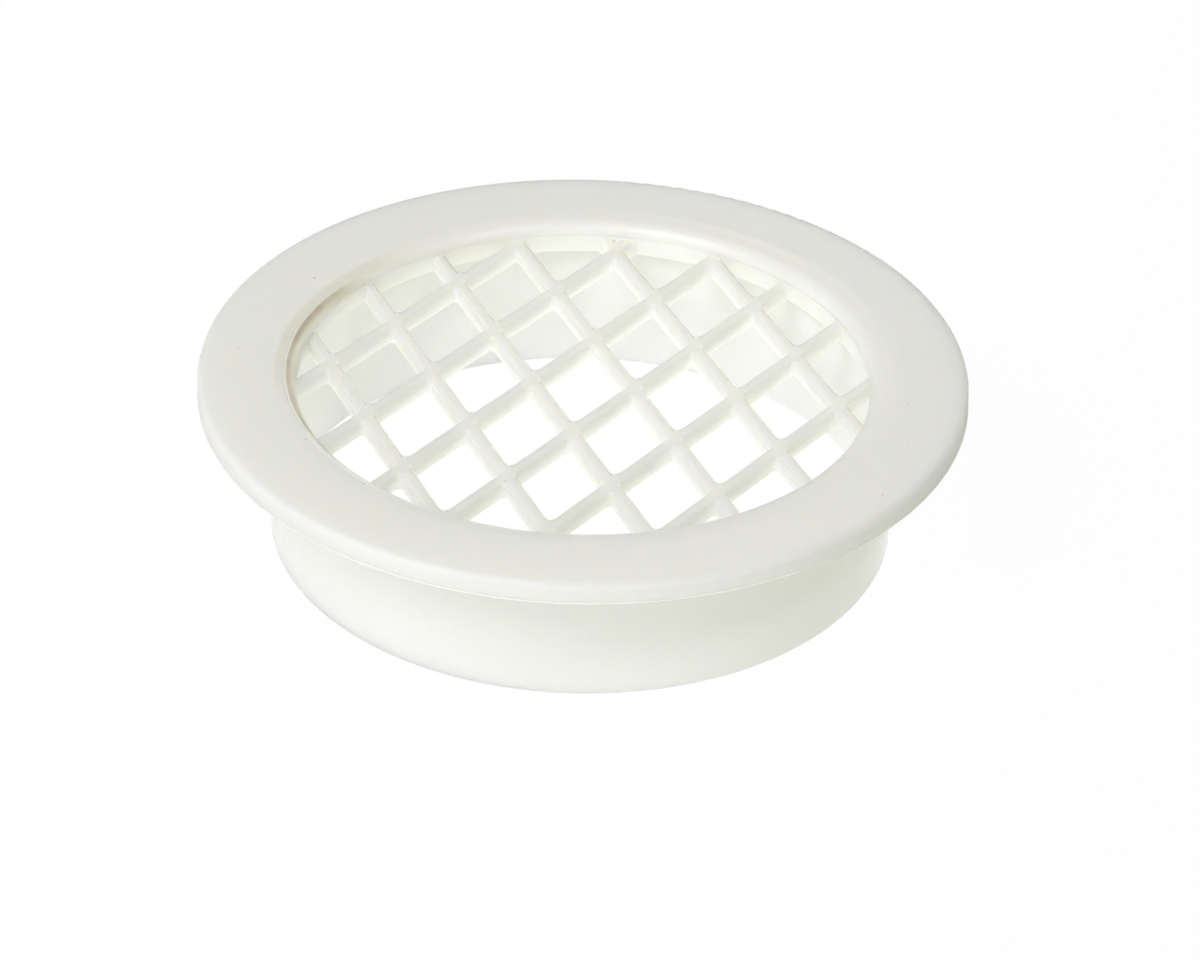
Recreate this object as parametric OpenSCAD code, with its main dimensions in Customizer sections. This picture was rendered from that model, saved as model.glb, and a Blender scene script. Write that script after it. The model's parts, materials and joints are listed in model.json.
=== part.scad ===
// Round vent screen, one moulding: a flange, a sunken grille of crossing bars and a spigot that fits a pipe.
// It stands on the spigot's rim with the grille's face up. The bars' longer diagonals run along Y.

/* [Flange] */
// Outside diameter of the flange
flange_d = 110; // [104:0.5:130]
// Thickness of the flange
flange_t = 3.1; // [2.6:0.1:4.5]
// Rounding of the flange's upper outer edge
flange_edge_r = 0.9; // [0.3:0.1:1.8]

/* [Throat] */
// Ledge between the spigot's inner wall and the throat's narrower one, which the grille fills
throat_ledge = 2; // [0.5:0.1:4]
// Depth of the throat's wall below the flange's face
throat_depth = 4.8; // [4.6:0.1:8]
// Rounding where the face rolls into the throat
throat_roll_r = 2.2; // [1:0.1:2.3]
// Width of the band in which the face falls towards the roll
face_fall_w = 3.8; // [2:0.1:6]
// Height that the face loses in that band
face_fall = 0.23; // [0.1:0.01:0.4]

/* [Spigot] */
// Outside diameter of the spigot, which pushes into the pipe's socket
spigot_d = 90; // [80:0.1:94]
// Thickness of the spigot's wall
spigot_wall = 2; // [1.4:0.1:3]
// Length of the spigot below the flange
spigot_len = 22; // [12:0.1:50]
// Rounding of the rim's two edges
rim_edge_r = 0.4; // [0.1:0.1:0.6]

/* [Grille] */
// Distance between neighbouring parallel bars, centre to centre
bar_pitch = 12.7; // [9:0.1:20]
// Angle at which the two sets of bars cross
cross_angle = 60; // [50:1:90]
// Width of a bar just below its rounded edges
bar_w = 1.95; // [1.3:0.05:3]
// Height of a bar
bar_h = 2.3; // [1.6:0.1:2.4]
// Rounding of a bar's upper edges
bar_edge_r = 0.55; // [0.2:0.05:0.6]
// Draft on each side of a bar over its height
bar_draft = 0.1; // [0.02:0.02:0.3]
// Rounding in the corners of a cell
cell_corner_r = 0.65; // [0.4:0.05:1.5]
// Least distance from the throat's wall to a cell's innermost crossing, below which the cell stays filled
cell_reach = 3.5; // [2:0.1:6]

/* [Hidden] */
$fn = 96;
corner_fn = 32;
eps = 1;
// How far the grille's disc runs into the throat's wall
grille_root = 0.5;
height = spigot_len + flange_t;
flange_rad = flange_d / 2;
spigot_rad = spigot_d / 2;
spigot_bore_rad = spigot_rad - spigot_wall;
throat_rad = spigot_bore_rad - throat_ledge;
throat_z = height - throat_depth;
// The face's fall is an arc that leaves the flat face and meets the roll without a crease
fall_reach = (face_fall_w * face_fall_w + face_fall * face_fall) / (2 * face_fall);
fall_r = fall_reach + throat_roll_r;
fall_angle = asin(face_fall_w / fall_reach);
roll_x = throat_rad + throat_roll_r;
roll_z = height - face_fall - throat_roll_r;
// Where the fall ends and the roll begins
meet_x = roll_x - throat_roll_r * sin(fall_angle);
meet_z = roll_z + throat_roll_r * cos(fall_angle);
// A cell is a diamond with these half diagonals, measured to the centre lines of its bars
cell_side = bar_pitch / sin(cross_angle);
half_short = cell_side * sin(cross_angle / 2);
half_long = cell_side * cos(cross_angle / 2);
// The core of a cell holds the centres of its rounded corners
core_inset = bar_w / 2 + cell_corner_r;
core_short = half_short - core_inset / cos(cross_angle / 2);
core_long = half_long - core_inset / sin(cross_angle / 2);
core_side = norm([core_short, core_long]);
side_turn = atan2(core_short, core_long);
rows = ceil(throat_rad / half_long);
cols = ceil(throat_rad / half_short);

// What a rounding takes off a corner whose material lies at negative x and y
module corner_waste(r) {
    difference() {
        translate([-r, -r]) square(r + eps);
        translate([-r, -r]) circle(r = r);
    }
}

// What the gentle fall of the face takes off, from the flat face to the roll
module fall_waste() {
    difference() {
        translate([meet_x, roll_z]) square([roll_x + face_fall_w - meet_x, height + eps - roll_z]);
        translate([roll_x + face_fall_w, height - fall_r]) circle(r = fall_r);
    }
}

// What the roll takes off, from the end of the fall to the throat's wall. Above the point where they meet it
// leans over what the fall takes off, so that nothing is left standing between the two
module roll_waste() {
    difference() {
        polygon([
            [throat_rad - eps, roll_z],
            [meet_x, roll_z],
            [meet_x, meet_z],
            [meet_x + eps, height + eps],
            [throat_rad - eps, height + eps]
        ]);
        translate([roll_x, roll_z]) circle(r = throat_roll_r);
    }
}

// Half section of the flange, the throat's wall and the spigot
module body_section() {
    difference() {
        polygon([
            [spigot_bore_rad, 0],
            [spigot_rad, 0],
            [spigot_rad, spigot_len],
            [flange_rad, spigot_len],
            [flange_rad, height],
            [throat_rad, height],
            [throat_rad, throat_z],
            [spigot_bore_rad, throat_z]
        ]);
        translate([flange_rad, height]) corner_waste(flange_edge_r);
        translate([spigot_rad, 0]) mirror([0, 1]) corner_waste(rim_edge_r);
        translate([spigot_bore_rad, 0]) mirror([1, 0]) mirror([0, 1]) corner_waste(rim_edge_r);
        fall_waste();
        roll_waste();
    }
}

// Section of a cell's side, from its core out to the drafted and rounded bar
module cell_section() {
    bar_shoulder = bar_h - bar_edge_r;
    difference() {
        polygon([
            [0, -eps],
            [cell_corner_r - bar_draft * (1 + eps / bar_shoulder), -eps],
            [cell_corner_r, bar_shoulder],
            [cell_corner_r + bar_edge_r, bar_shoulder],
            [cell_corner_r + bar_edge_r, bar_h + eps],
            [0, bar_h + eps]
        ]);
        translate([cell_corner_r + bar_edge_r, bar_shoulder]) circle(r = bar_edge_r, $fn = corner_fn);
    }
}

// What one cell takes out of the grille's disc: its core, four swept sides and four turned corners
module cell() {
    translate([0, 0, -eps])
        linear_extrude(bar_h + 2 * eps)
            polygon([[core_short, 0], [0, core_long], [-core_short, 0], [0, -core_long]]);
    for (m = [0, 1], k = [0, 1])
        mirror([m, 0, 0]) mirror([0, k, 0])
            translate([core_short, 0, 0]) rotate([0, 0, side_turn]) rotate([90, 0, 0])
                translate([0, 0, -core_side]) linear_extrude(core_side) cell_section();
    for (turn = [0, 180])
        rotate([0, 0, turn]) {
            translate([core_short, 0, 0]) rotate_extrude($fn = corner_fn) cell_section();
            translate([0, core_long, 0]) rotate_extrude($fn = corner_fn) cell_section();
        }
}

// Distance from the axis to the innermost crossing of the cell in column i and row j
function cell_start(i, j) = min(
    norm([max(abs(i) - 1, 0) * half_short, j * half_long]),
    norm([i * half_short, max(abs(j) - 1, 0) * half_long])
);

module grille() {
    difference() {
        cylinder(r = throat_rad + grille_root, h = bar_h);
        for (j = [-rows : rows], i = [-cols : cols])
            if ((i + j) % 2 == 0 && throat_rad - cell_start(i, j) > cell_reach)
                translate([i * half_short, j * half_long, 0]) cell();
    }
}

module vent_screen() {
    color("whitesmoke") {
        rotate_extrude() body_section();
        translate([0, 0, throat_z]) grille();
    }
}

vent_screen();
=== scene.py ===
import json
import math

import bmesh
import bpy
from mathutils import Matrix, Vector


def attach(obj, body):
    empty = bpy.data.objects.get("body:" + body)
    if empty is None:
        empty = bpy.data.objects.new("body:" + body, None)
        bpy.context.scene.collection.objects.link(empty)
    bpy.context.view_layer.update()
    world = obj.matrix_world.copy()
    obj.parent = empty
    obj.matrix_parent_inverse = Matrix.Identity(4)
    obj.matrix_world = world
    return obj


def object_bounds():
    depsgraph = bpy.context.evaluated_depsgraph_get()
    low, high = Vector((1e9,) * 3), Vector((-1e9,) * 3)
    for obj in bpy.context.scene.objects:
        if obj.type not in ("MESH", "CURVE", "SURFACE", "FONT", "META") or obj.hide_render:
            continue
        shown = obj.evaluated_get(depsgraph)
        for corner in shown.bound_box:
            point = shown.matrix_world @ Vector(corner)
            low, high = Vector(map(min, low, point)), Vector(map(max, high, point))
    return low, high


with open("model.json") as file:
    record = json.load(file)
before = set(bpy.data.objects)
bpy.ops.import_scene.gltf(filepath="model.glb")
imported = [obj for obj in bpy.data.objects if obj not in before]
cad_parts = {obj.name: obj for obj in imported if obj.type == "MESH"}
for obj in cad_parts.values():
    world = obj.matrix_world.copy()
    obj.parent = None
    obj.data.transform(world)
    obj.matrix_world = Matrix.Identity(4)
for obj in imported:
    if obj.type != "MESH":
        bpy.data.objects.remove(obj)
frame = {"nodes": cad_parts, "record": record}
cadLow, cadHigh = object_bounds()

mm = 0.001
scene = bpy.context.scene
scene.view_settings.view_transform = "Standard"
print("frame loaded, box", [round(v / mm, 2) for v in cadHigh - cadLow], "mm")


class Wire:  # a socket that can be used in sums
    def __init__(self, graph, socket):
        self.graph = graph
        self.socket = socket

    def kind(self):
        return {"VECTOR": "vector", "RGBA": "colour"}.get(self.socket.type, "value")

    def join(self, operation, a, b):
        kinds = [w.kind() for w in (a, b) if isinstance(w, Wire)]
        if "colour" in kinds:
            return self.graph.mix(1.0, a, b, blend=operation)
        if "vector" in kinds:
            vectors = [v if isinstance(v, (Wire, tuple)) else (v, v, v) for v in (a, b)]
            return self.graph.node("ShaderNodeVectorMath", {"operation": operation}, *vectors)
        return self.graph.node("ShaderNodeMath", {"operation": operation}, a, b)

    def __add__(self, other):
        return self.join("ADD", self, other)

    def __radd__(self, other):
        return self.join("ADD", other, self)

    def __sub__(self, other):
        return self.join("SUBTRACT", self, other)

    def __rsub__(self, other):
        return self.join("SUBTRACT", other, self)

    def __mul__(self, other):
        return self.join("MULTIPLY", self, other)

    def __rmul__(self, other):
        return self.join("MULTIPLY", other, self)

    def __truediv__(self, other):
        return self.join("DIVIDE", self, other)

    def __rtruediv__(self, other):
        return self.join("DIVIDE", other, self)

    def __pow__(self, other):
        return self.join("POWER", self, other)

    def largest(self, other):
        return self.join("MAXIMUM", self, other)

    def size(self):  # without its sign
        return self.graph.node("ShaderNodeMath", {"operation": "ABSOLUTE"}, self)

    def wrap(self, half):  # repeats itself between -half and half
        return self.graph.node("ShaderNodeMath", {"operation": "WRAP"}, self, half, -half)

    def along(self, way):  # how far a vector reaches that way
        return self.graph.node("ShaderNodeVectorMath", {"operation": "DOT_PRODUCT"}, self, way, take="Value")

    def ramp(self, start, end, low=0.0, high=1.0):  # a smooth step from low to high
        return self.graph.node(
            "ShaderNodeMapRange", {"interpolation_type": "SMOOTHSTEP"}, self, start, end, low, high
        )


class Graph:  # a node tree that is filled from here
    def __init__(self, tree):
        self.tree = tree
        tree.nodes.clear()

    def put(self, socket, value):
        if isinstance(value, Wire):
            self.tree.links.new(value.socket, socket)
        elif socket.type == "RGBA" and len(value) == 3:
            socket.default_value = (*value, 1.0)
        else:
            socket.default_value = value

    def node(self, kind, settings=None, *values, take=0, **named):
        made = self.tree.nodes.new(kind)
        for name, value in (settings or {}).items():
            setattr(made, name, value)
        for index, value in enumerate(values):
            if value is not None:
                self.put(made.inputs[index], value)
        for name, value in named.items():
            self.put(made.inputs[name.replace("_", " ")], value)
        if isinstance(take, list):
            return [Wire(self, made.outputs[name]) for name in take]
        return Wire(self, made.outputs[take]) if made.outputs else made

    def place(self):  # the point on the object, in m
        return self.node("ShaderNodeTexCoord", take="Object")

    def noise(self, place, size, detail):  # size in mm
        return self.node("ShaderNodeTexNoise", {}, Vector=place, Scale=1.0 / (size * mm), Detail=detail)

    def shownWhite(self):  # 1 where the camera sees it, straight or in gloss or glass
        seen = ["Is Camera Ray", "Is Glossy Ray", "Is Transmission Ray"]
        straight, gloss, glass = self.node("ShaderNodeLightPath", take=seen)
        return straight.largest(gloss).largest(glass)

    def mix(self, factor, a, b, blend="MIX"):
        settings = {"data_type": "RGBA", "blend_type": blend}
        return self.node("ShaderNodeMix", settings, factor, None, None, None, None, None, a, b, take=2)


def newMaterial(name):
    material = bpy.data.materials.new(name)
    material.use_nodes = True
    return material, Graph(material.node_tree)


def screenLayout():  # the moulding's levels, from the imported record's mounts
    mounts = {mount["name"]: mount for mount in frame["record"]["mounts"]}
    return {
        "flangeUnder": mounts["flange_seat"]["pos_m"][2],
        "spigotRadius": mounts["spigot"]["dims"]["r_mm"] * mm,
    }


# lengths in mm, unless another unit is given
plasticLook = {
    "colour": (0.930, 0.942, 0.875),
    "deepColour": (0.918, 0.930, 0.861),  # in the milky patches
    "patchSize": 26.0,
    "patchEdge": (0.35, 0.7),  # in the noise
    "ior": 1.49,
    "subsurface": 1.0,
    "scatterColour": (1.0, 1.0, 0.7),  # how far each colour goes, as a share of the depth
    "scatterDepth": 8.0,
    "roughness": 0.34,
    "roughPatch": (5.0, -0.03, 0.04),  # size, least and most that it adds
    "grainHeight": 0.012,
    "grainSize": 0.8,
    "grainStrength": 0.35,
    "waveSize": 12.0,
    "waveHeight": 3.0,  # times the grain's
    "edgeRound": 0.2,  # how far light softens the moulding's sharp edges
}

# where the plastic differs from the flat face, lengths in mm
placeLook = {
    "edgeRoughness": 0.65,  # on the flange's rounded edge
    "edgeStart": (53.4, 54.2),  # radius
    "spigotRoughness": 0.08,
    "spigotStart": (1.0, 0.5),  # inside its outer wall
    "spigotTop": 0.3,  # below the flange
    "throatTop": (2.2, 1.8),  # below the face, where the roll into the throat starts
    "brimHeight": 0.24,  # by which the face comes up again beside the throat
    "brimStart": (45.8, 43.4),  # radius
}

# specks seen on the face and the bars: x, y, radius in mm, strength
specks = [
    (-42.3, 18.5, 0.22, 0.75),
    (-35.8, -24.7, 0.20, 0.45),
    (-25.9, -34.4, 0.20, 0.45),
    (-49.7, -2.5, 0.20, 0.40),
    (44.8, -26.5, 0.20, 0.45),
    (46.6, -2.3, 0.20, 0.35),
    (-44.8, -0.9, 0.18, 0.35),
    (28.9, 7.1, 0.16, 0.50),
    (-7.4, -27.3, 0.16, 0.50),
    (29.4, 14.7, 0.16, 0.40),
]

# specks and dust, a thin brown line round the throat's roll, and painted shade beside that line
dirtAndShadeLook = {
    "speckColour": (0.30, 0.25, 0.20),
    "speckCore": 0.35,  # of a speck's radius, inside which it is darkest
    "speckLevel": (18.0, 19.0),  # mm above the floor, specks lie only above it
    "dustSpacing": 7.0,  # mm
    "dustSize": (0.022, 0.012),  # of the spacing
    "dustStrength": 0.35,
    "brownLineAndShadeColour": (0.45, 0.38, 0.29),
    "brownLineRadius": 42.2,  # mm, on the roll into the throat
    "brownLineDrift": 3.4,  # mm, how it runs inwards away from its heading
    "brownLineHeading": (-0.9925, -0.122, 0.0),
    "brownLineReach": (0.72, 0.97),
    # each band beside the brown line: middle, half width in mm, strength
    # painted shade: the groove just outside the brown line is darkened in the colour
    "grooveShade": (0.70, 0.16, 0.30),
    # painted shade: a wide dark band on the face's fall outside the brown line, strongest on the left towards
    # the back
    "fallShade": (1.0, 1.3, 0.28),
    "fallShadeHeading": (-0.97, 0.24, 0.0),
    "fallShadeReach": (0.80, 0.97),
    "lip": (0.44, 0.18, 0.04),  # the last is its height in mm
    "lipReach": (0.72, 0.9),
    "lineOuter": (0.40, 0.12),  # mm outwards, where the dark brown line starts
    "lineInner": (-1.1, -0.1),  # mm, where it has faded inwards
    "blotchSize": 4.0,  # mm
    "blotch": (0.25, 0.75, 0.8, 1.0),  # least and most of the noise, least and most of the brown line and its painted shade
}

grilleLayout = {
    "pitch": 12.7,  # mm between parallel bars
    "top": 22.6,  # mm above the floor
    "half": 0.975,  # mm, half a bar's width
    "radius": 41.0,  # mm, of the throat
    "fade": 0.2,  # mm, from its wall to the bars' finish
    # each set's way across its bars, and how strong the painted shade line on that side is
    "sets": [((0.866, 0.5, 0.0), 1.0), ((-0.866, 0.5, 0.0), 0.5)],
    "edgeShadeColour": (0.74, 0.695, 0.63),  # painted shade: a fine dark line along the bars' far upper edges, where their rounding turns away from the light
    "lineStart": (0.42, 0.62),  # in half widths across the bar
    "lineEnd": (1.0, 0.8),
    "lineClear": (1.0, 1.6),  # half widths from the middle of a crossing bar
    "crownHeight": 0.07,  # mm, of the tops of the bars in the first set
    "topReach": (0.7, 0.4),  # mm below the top, where a bar's top starts
    "sideReach": (0.5, 1.1),  # mm below the top, where its sides start
    "cellPaintedLight": (0.97, 0.972, 0.91),  # painted light: a lighter, creamier colour on the bars' sides down in the cells
    "cellRoughness": 0.22,
}


def dirtAndShadeOn(graph, colour, place, x, y, z, radius):  # specks, dust, a thin brown line round the throat, and painted shade in the groove and on the face's fall beside it
    look = dirtAndShadeLook
    low, high = (v * mm for v in look["speckLevel"])
    for px, py, size, strength in specks:
        away = ((x - px * mm) ** 2.0 + (y - py * mm) ** 2.0) ** 0.5
        spot = away.ramp(size * mm, look["speckCore"] * size * mm) * strength
        colour = graph.mix(spot * z.ramp(low, high), colour, look["speckColour"])
    dust = graph.node("ShaderNodeTexVoronoi", {}, Vector=place, Scale=1.0 / (look["dustSpacing"] * mm))
    colour = graph.mix(dust.ramp(*look["dustSize"]) * look["dustStrength"], colour, look["speckColour"])

    heading = graph.node("ShaderNodeVectorMath", {"operation": "NORMALIZE"}, place * (1.0, 1.0, 0.0))
    toBrownLine = heading.along(look["brownLineHeading"])
    foot, top = (cadHigh.z - v * mm for v in placeLook["throatTop"])
    roll = z.ramp(foot, top)
    off = radius / mm - look["brownLineRadius"] + (1.0 - toBrownLine) * look["brownLineDrift"]  # mm outwards of its line

    def band(name):
        middle, half, strength = look[name]
        return (((off - middle) / half) ** 2.0).ramp(1.0, 0.0) * strength

    # a thin brown line painted on the roll into the throat, strongest on the left
    line = off.ramp(*look["lineOuter"]) * off.ramp(*look["lineInner"])
    # the brown line together with the painted shade in its groove
    lineAndGrooveShade = line.largest(band("grooveShade")) * toBrownLine.ramp(*look["brownLineReach"])
    # painted shade on the face's fall, where it tilts away from the light
    fallShade = band("fallShade") * heading.along(look["fallShadeHeading"]).ramp(*look["fallShadeReach"])
    blotch = graph.noise(place, look["blotchSize"], 2.0).ramp(*look["blotch"])
    colour = graph.mix(lineAndGrooveShade.largest(fallShade) * blotch * roll, colour, look["brownLineAndShadeColour"])
    lip = band("lip") * toBrownLine.ramp(*look["lipReach"]) * roll
    return colour, lip, roll


# paints a shade line along the bars' upper edges and painted light on their sides in the cells
def barsOn(graph, colour, place, z, radius):  # by how far a point lies across the nearest bar of each set
    look = grilleLayout
    half, top = look["pitch"] / 2 * mm, look["top"]
    across = [(place.along(way) - half).wrap(half) / (look["half"] * mm) for way, strength in look["sets"]]
    inThroat = radius.ramp(look["radius"] * mm, (look["radius"] - look["fade"]) * mm)
    atTop = z.ramp(*((top - v) * mm for v in look["topReach"]))
    below = z.ramp(*((top - v) * mm for v in look["sideReach"])) * inThroat
    for index, (way, strength) in enumerate(look["sets"]):
        # painted shade: a fine dark line along each bar's far upper edge, kept clear of the crossing bars
        edge = across[index].ramp(*look["lineStart"]) * across[index].ramp(*look["lineEnd"])
        clear = across[1 - index].size().ramp(*look["lineClear"])
        colour = graph.mix(edge * clear * inThroat * atTop * strength, colour, look["edgeShadeColour"])
    # painted light: the bars' sides in the cells get a lighter, creamier colour
    colour = graph.mix(below, colour, look["cellPaintedLight"])
    crowns = [(1.0 - d * d).largest(0.0) for d in across]
    crown = crowns[0] * (1.0 - crowns[1]) * inThroat * atTop * look["crownHeight"]
    return colour, crown, below


def whitePlastic():
    material, graph = newMaterial("whitePlastic")
    look, spots = plasticLook, placeLook
    level = screenLayout()
    place = graph.place()
    x, y, z = graph.node("ShaderNodeSeparateXYZ", {}, place, take=["X", "Y", "Z"])
    radius = (x * x + y * y) ** 0.5
    wallStart, wallEnd = (level["spigotRadius"] - v * mm for v in spots["spigotStart"])
    spigot = z.ramp(level["flangeUnder"], level["flangeUnder"] - spots["spigotTop"] * mm)
    spigot = spigot * radius.ramp(wallStart, wallEnd)

    patches = graph.noise(place, look["patchSize"], 2.0).ramp(*look["patchEdge"])
    colour = graph.mix(patches, look["colour"], look["deepColour"])
    colour, lip, roll = dirtAndShadeOn(graph, colour, place, x, y, z, radius)
    colour, crown, below = barsOn(graph, colour, place, z, radius)

    patch, least, most = look["roughPatch"]
    rough = graph.noise(place, patch, 3.0).ramp(0.3, 0.7, least, most) + look["roughness"]
    edge = radius.ramp(*(v * mm for v in spots["edgeStart"]))
    rough = rough + edge * (spots["edgeRoughness"] - look["roughness"])
    rough = rough + spigot * (spots["spigotRoughness"] - look["roughness"])
    rough = rough + below * (grilleLayout["cellRoughness"] - look["roughness"])

    softEdge = graph.node("ShaderNodeBevel", {"samples": 4}, Radius=look["edgeRound"] * mm)
    brim = radius.ramp(*(v * mm for v in spots["brimStart"])) * roll * spots["brimHeight"]
    form = graph.node(
        "ShaderNodeBump", {}, Strength=1.0, Distance=1.0 * mm, Height=lip + brim + crown, Normal=softEdge
    )
    waves = graph.noise(place, look["waveSize"], 1.0) * look["waveHeight"]
    grain = graph.noise(place, look["grainSize"], 2.0) + waves
    bump = graph.node(
        "ShaderNodeBump", {}, Strength=look["grainStrength"], Distance=look["grainHeight"] * mm,
        Height=grain, Normal=form,
    )
    shader = graph.node(
        "ShaderNodeBsdfPrincipled", {}, Base_Color=colour, Roughness=rough, Normal=bump, IOR=look["ior"],
        Subsurface_Weight=look["subsurface"], Subsurface_Radius=look["scatterColour"],
        Subsurface_Scale=look["scatterDepth"] * mm,
    )
    graph.node("ShaderNodeOutputMaterial", {}, shader)
    return material


screen = frame["nodes"]["vent_screen"]
screen.data.materials.clear()
screen.data.materials.append(whitePlastic())
print("white plastic on the screen")


# a fine raised line round the flange's lower edge, where the mould's halves met
partingLook = {
    "colour": (0.86, 0.87, 0.82),
    "mottleSize": 6.0,  # mm
    "roughness": 0.5,
    "half": 0.10,  # mm, half its thickness
    "sink": 0.1,  # of that half, how far its middle lies inside the edge
    "rise": 0.10,  # mm above the flange's underside
    "turns": 360,
    "sides": 10,
}


def partingLine():
    look = partingLook
    half = look["half"] * mm
    level = screenLayout()["flangeUnder"] + look["rise"] * mm
    mesh = bmesh.new()
    rings = []
    for i in range(look["turns"]):
        turn = 2 * math.pi * i / look["turns"]
        ring = []
        for j in range(look["sides"]):
            tilt = 2 * math.pi * j / look["sides"]
            radius = cadHigh.x + half * (math.cos(tilt) - look["sink"])
            height = level + half * math.sin(tilt)
            ring.append(mesh.verts.new((radius * math.cos(turn), radius * math.sin(turn), height)))
        rings.append(ring)
    for i, ring in enumerate(rings):
        after = rings[(i + 1) % len(rings)]
        for j in range(len(ring)):
            k = (j + 1) % len(ring)
            mesh.faces.new((ring[j], after[j], after[k], ring[k])).smooth = True
    data = bpy.data.meshes.new("parting_line")
    mesh.to_mesh(data)
    mesh.free()
    material, graph = newMaterial("partingPlastic")
    mottle = graph.noise(graph.place(), look["mottleSize"], 2.0)
    colour = graph.mix(mottle.ramp(0.3, 0.7), look["colour"], plasticLook["colour"])
    shader = graph.node(
        "ShaderNodeBsdfPrincipled", {}, Base_Color=colour, Roughness=look["roughness"], IOR=plasticLook["ior"]
    )
    graph.node("ShaderNodeOutputMaterial", {}, shader)
    data.materials.append(material)
    piece = bpy.data.objects.new("parting_line", data)
    scene.collection.objects.link(piece)
    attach(piece, "root")


partingLine()
print("parting line round the flange")


# the floor is a pale light table: it glows, takes the lamps' light and shadows, and shows nearly white
floorLook = {
    "colour": (0.72, 0.74, 0.71),
    "footShadeColour": (0.40, 0.41, 0.40),  # painted shade: a darker floor close round the spigot's foot
    "footReach": 14.0,  # mm from the spigot's wall
    "glow": (0.28, 0.29, 0.285),
    "glowRight": (0.10, 0.105, 0.095),
    "right": (0.996, -0.087, 0.0),
    "rightReach": (20.0, 75.0),  # mm that way
    "nearLeft": (-0.24, -0.24, -0.23),  # what the glow gains round the spigot's foot
    "nearRight": (0.27, 0.27, 0.26),
    "nearReach": 22.0,  # mm from the spigot's wall
    "nearTurn": (-50.0, 60.0),  # mm to the right
    "glowBelow": (0.62, 0.62, 0.59),  # painted light: a stronger glow under the grille, a pool of light that brightens the inside of the spigot
    "insideStart": (2.4, 1.2),  # mm inside the spigot's outer wall
    "shown": 0.975,  # white's share in what the camera sees
    "size": 8.0,  # m
    "gap": 0.02,  # mm below the spigot's rim
}


def paleFloor():
    look = floorLook
    material, graph = newMaterial("paleFloor")
    wall = screenLayout()["spigotRadius"]
    place = graph.place()
    away = graph.node("ShaderNodeVectorMath", {"operation": "LENGTH"}, place, take="Value")
    right = place.along(look["right"])
    outside = away.ramp(*(wall - v * mm for v in look["insideStart"]))
    foot = away.ramp(wall + look["footReach"] * mm, wall) * outside
    # painted shade on the floor round the spigot's foot
    ground = graph.mix(foot, look["colour"], look["footShadeColour"])
    light = graph.mix(right.ramp(*(v * mm for v in look["rightReach"])), look["glow"], look["glowRight"])
    near = graph.mix(right.ramp(*(v * mm for v in look["nearTurn"])), look["nearLeft"], look["nearRight"])
    light = light + graph.mix(away.ramp(wall, wall + look["nearReach"] * mm), near, (0.0, 0.0, 0.0))
    # painted light: the stronger glow pooled under the grille
    light = graph.mix(outside, look["glowBelow"], light)
    matt = graph.node("ShaderNodeBsdfDiffuse", {}, Color=ground)
    glow = graph.node("ShaderNodeEmission", {}, Color=light, Strength=1.0)
    table = graph.node("ShaderNodeAddShader", {}, matt, glow)
    white = graph.node("ShaderNodeEmission", {}, Color=(1.0, 1.0, 1.0), Strength=1.0)
    share = graph.shownWhite() * look["shown"]
    graph.node("ShaderNodeOutputMaterial", {}, graph.node("ShaderNodeMixShader", {}, share, table, white))
    half = look["size"] / 2
    corners = [(-half, -half, 0), (half, -half, 0), (half, half, 0), (-half, half, 0)]
    mesh = bpy.data.meshes.new("paleFloor")
    mesh.from_pydata(corners, [], [(0, 1, 2, 3)])
    mesh.materials.append(material)
    floor = bpy.data.objects.new("paleFloor", mesh)
    floor.location.z = cadLow.z - look["gap"] * mm
    scene.collection.objects.link(floor)


paleFloor()


studio = {
    "window": (-0.5, -0.87, 0.0),
    "brightSky": (0.56, 0.555, 0.56),  # at the front left, where the window is
    "dimSky": (0.02, 0.02, 0.01),  # at the back right
    "skyTurn": (-0.4, 1.0),
    "lowSky": (0.55, 0.55, 0.54),  # more of it close to the horizon, under the window
    "lowReach": (0.30, 0.05),
    "lowTurn": (0.1, 0.8),
    "target": (0.0, 0.0, 12.0),  # mm
    "lamps": [
        # name, place in m, width and height in m, watts, colour
        ("softBox", (-1.90, -2.73, 3.95), (2.4, 2.4), 137.0, (1.0, 0.98, 0.99)),
        ("sideBox", (1.58, -1.32, 2.96), (0.4, 0.4), 18.5, (1.0, 0.98, 0.87)),
        ("backScreen", (0.75, 1.86, 0.42), (2.0, 0.8), 10.0, (1.0, 1.0, 0.96)),
    ],
}


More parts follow.
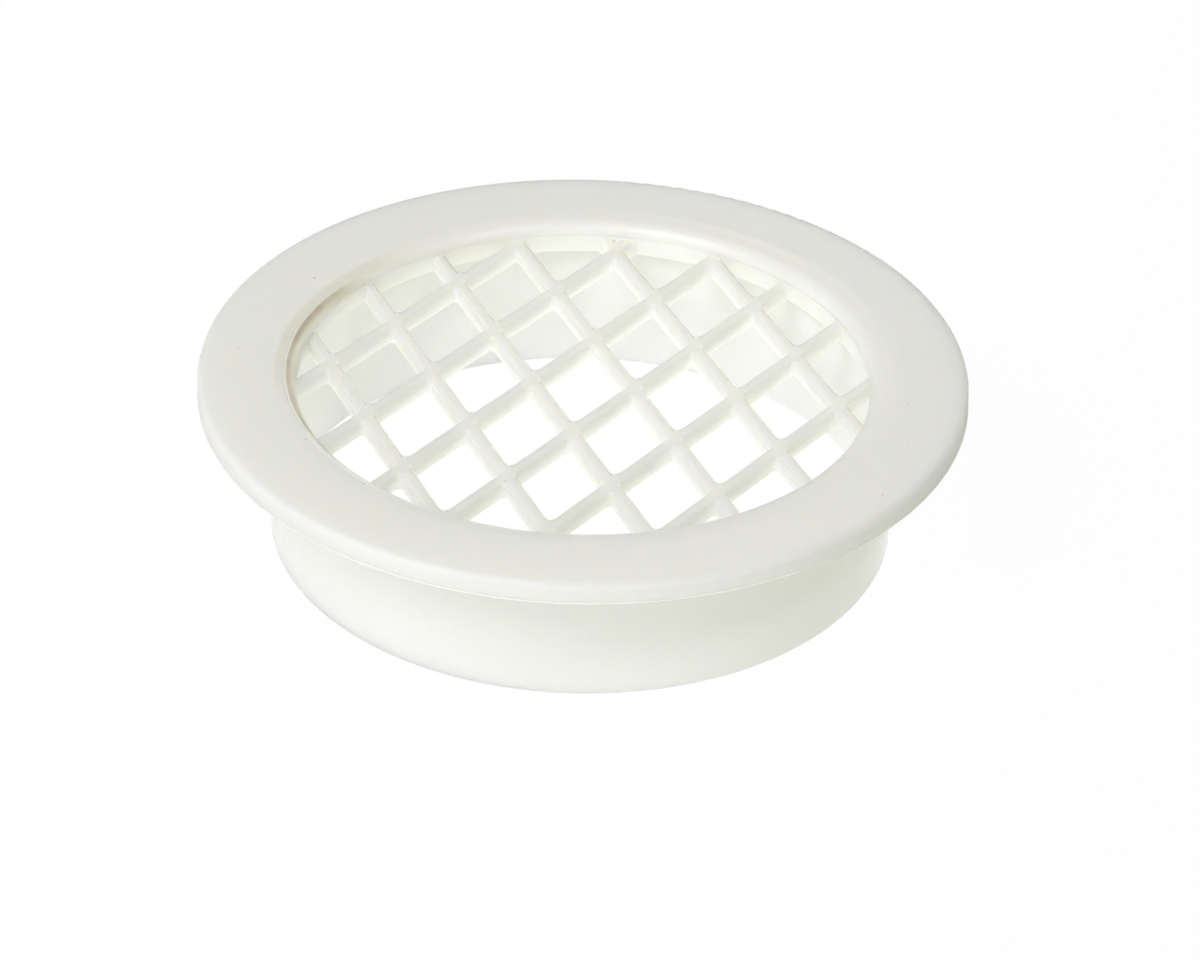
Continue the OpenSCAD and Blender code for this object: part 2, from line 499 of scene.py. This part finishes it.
def lightTheStudio():
    world = bpy.data.worlds.new("studio")
    scene.world = world
    world.use_nodes = True
    graph = Graph(world.node_tree)
    heading = graph.node("ShaderNodeTexCoord", take="Generated")
    side = heading.along(studio["window"])
    up = heading.along((0.0, 0.0, 1.0))
    low = up.ramp(*studio["lowReach"]) * side.ramp(*studio["lowTurn"])
    sky = graph.mix(side.ramp(*studio["skyTurn"]), studio["dimSky"], studio["brightSky"])
    sky = sky + graph.mix(low, (0.0, 0.0, 0.0), studio["lowSky"])
    colour = graph.mix(graph.shownWhite(), sky, (1.0, 1.0, 1.0))
    background = graph.node("ShaderNodeBackground", {}, Color=colour, Strength=1.0)
    graph.node("ShaderNodeOutputWorld", {}, background)
    target = Vector(studio["target"]) * mm
    for name, place, size, watts, colour in studio["lamps"]:
        lamp = bpy.data.lights.new(name, "AREA")
        lamp.shape = "RECTANGLE"
        lamp.size, lamp.size_y = size
        lamp.energy = watts
        lamp.color = colour
        holder = bpy.data.objects.new(name, lamp)
        holder.location = place
        holder.rotation_euler = (target - Vector(place)).to_track_quat("-Z", "Y").to_euler()
        scene.collection.objects.link(holder)


lightTheStudio()
print("floor and studio light in place")


# the photographer's view, in mm from the centre of the screen's face
view = {
    "place": (65.7, -557.1, 347.7),
    "aim": (6.0, -28.8, 0.0),
    "roll": 1.37,  # degrees
    "lens": 138.6,
}


def setCamera():
    camera = bpy.data.cameras.new("viewCamera")
    camera.sensor_fit = "HORIZONTAL"
    camera.sensor_width = 36.0
    camera.lens = view["lens"]
    camera.clip_start = 0.01
    camera.clip_end = 50.0
    holder = bpy.data.objects.new("viewCamera", camera)
    face = Vector((0, 0, cadHigh.z))
    place = face + Vector(view["place"]) * mm
    look = (face + Vector(view["aim"]) * mm - place).to_track_quat("-Z", "Y").to_matrix()
    turn = Matrix.Rotation(math.radians(view["roll"]), 3, "Z")
    holder.matrix_world = Matrix.Translation(place) @ (look @ turn).to_4x4()
    scene.collection.objects.link(holder)
    scene.camera = holder


setCamera()
print("camera set")
